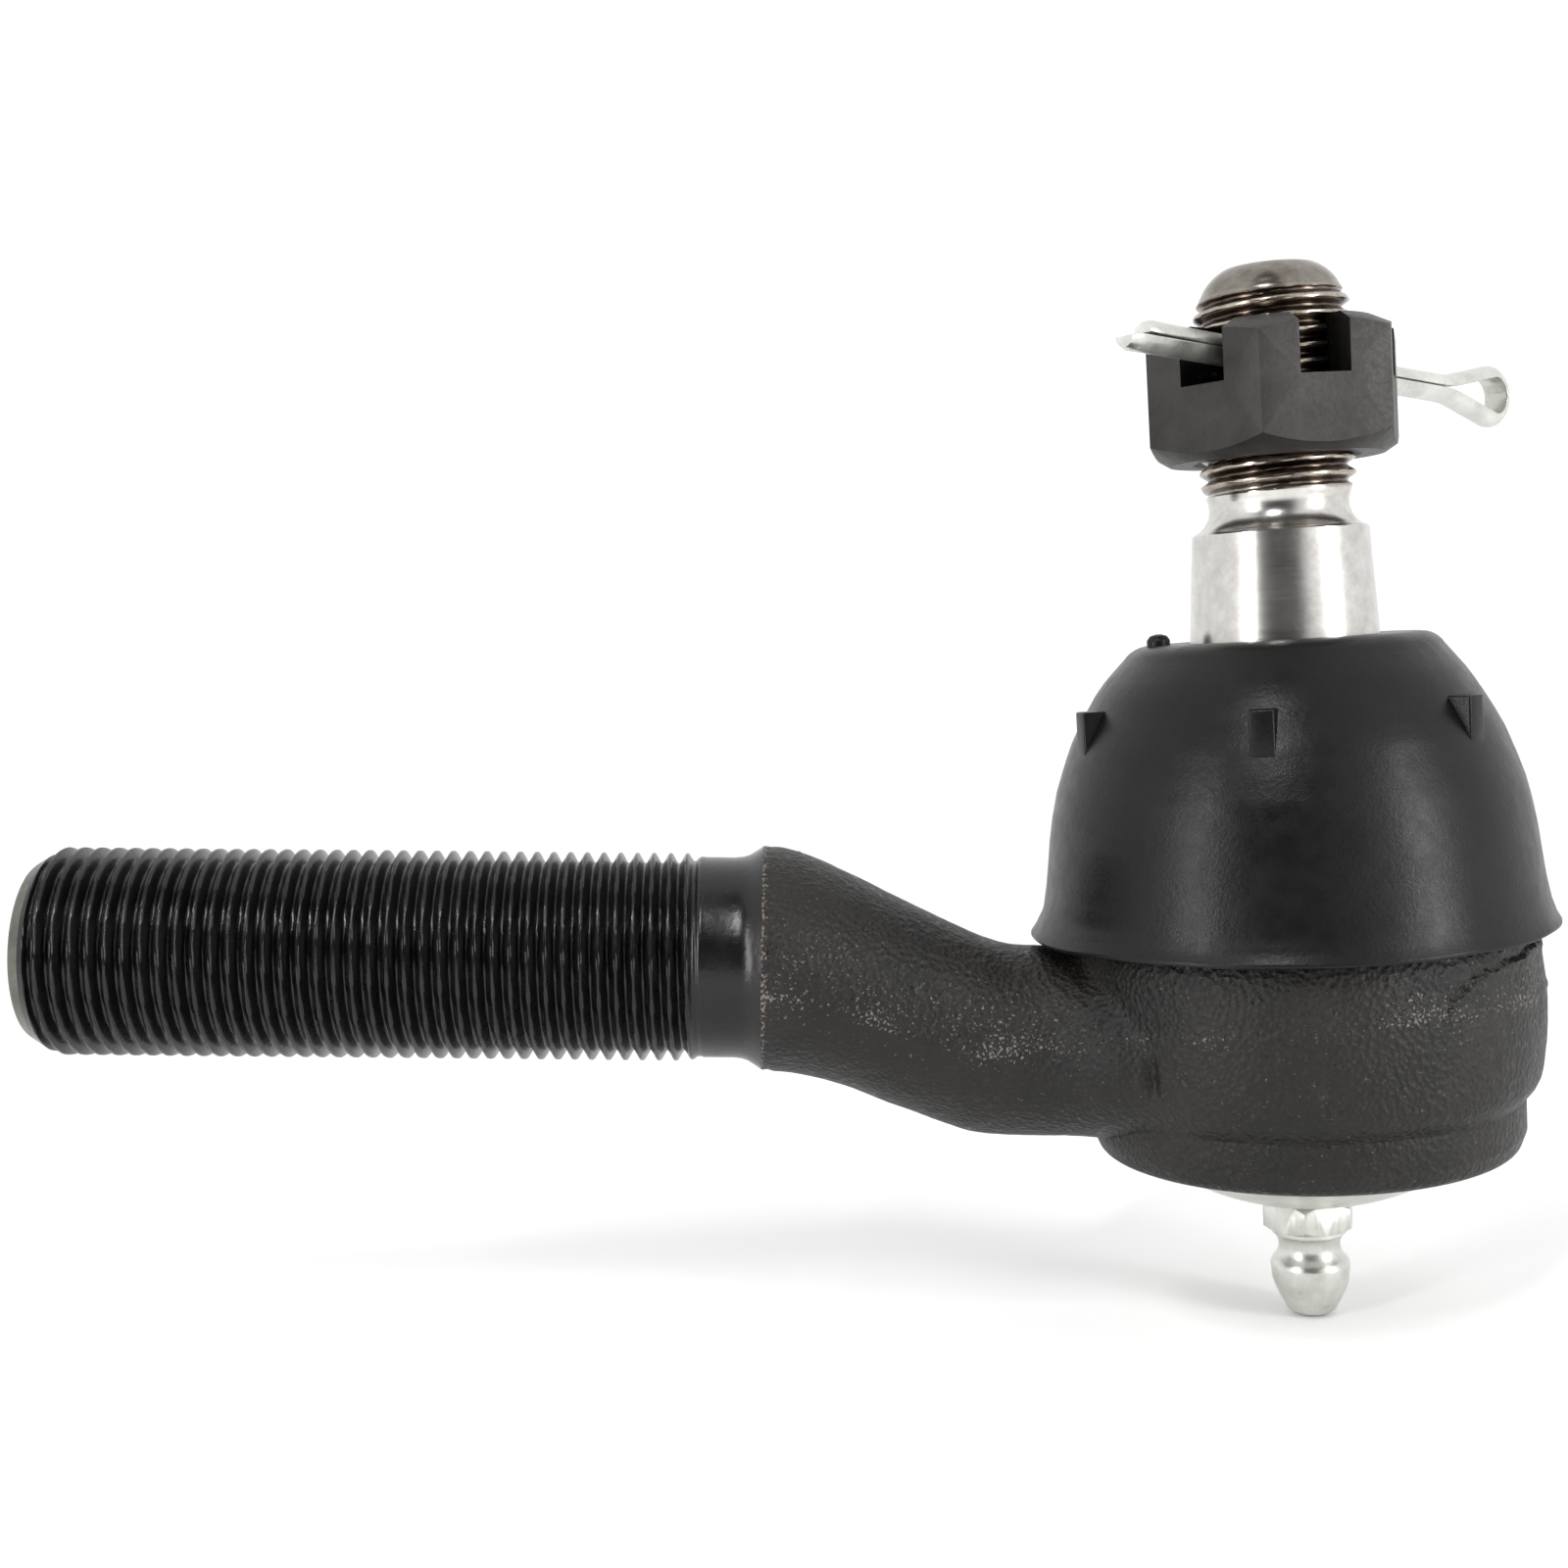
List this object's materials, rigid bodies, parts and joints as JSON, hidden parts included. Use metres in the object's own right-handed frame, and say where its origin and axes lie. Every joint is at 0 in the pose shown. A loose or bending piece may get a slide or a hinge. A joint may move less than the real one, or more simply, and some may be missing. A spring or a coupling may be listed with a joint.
{
  "type": "tie rod end",
  "caption": "Steering tie rod end: threaded shank on a forged socket, spring-loaded half-ball joint, tapered stud with slotted nut and cotter pin, umbrella boot.",
  "frame": {"origin": "on the stud's axis at the large end of the exposed taper, level with the top of the dust boot, where the steering arm's underside comes", "axes": "+Z along the stud, from the ball towards its threaded end; the threaded shank points to -X, rising 4.05 degrees in the XZ plane; +X is away from the shank"},
  "size_m": [0.1341, 0.0454, 0.0877],
  "materials": {
    "forging_paint": "satin black paint over forged steel, gloss black on the rolled thread",
    "boot_rubber": "matte moulded black rubber",
    "bearing_steel": "ground hardened steel with a grease film",
    "stud_steel": "turned and ground bright steel",
    "spring_steel": "oil-tempered spring wire",
    "zinc_plate": "bright zinc plate over steel",
    "nut_phosphate": "dark phosphate and oil over steel"
  },
  "bodies": {
    "housing": {"socket_forging": "forging_paint", "cover_plate": "zinc_plate", "preload_spring": "spring_steel", "grease_fitting_body": "zinc_plate", "grease_fitting_check_ball": "bearing_steel", "grease_fitting_spring": "spring_steel"},
    "seat": {"lower_seat": "bearing_steel", "dust_boot": "boot_rubber"},
    "half_ball": {"half_ball_bearing": "bearing_steel"},
    "stud": {"ball_stud": "stud_steel", "slotted_nut": "nut_phosphate", "cotter_pin": "zinc_plate"}
  },
  "joints": [
    {"name": "seat_turn", "type": "hinge", "parent": "housing", "child": "seat", "pos_m": [0, 0, -0.028], "axis": [0, 0, 1], "continuous": true},
    {"name": "stud_tilt", "type": "hinge", "parent": "seat", "child": "half_ball", "pos_m": [0, 0, -0.028], "axis": [0, 1, 0], "range_deg": [-20, 20], "deforming": ["dust_boot"]},
    {"name": "stud_spin", "type": "hinge", "parent": "half_ball", "child": "stud", "pos_m": [0, 0, -0.028], "axis": [0, 0, 1], "continuous": true}
  ]
}
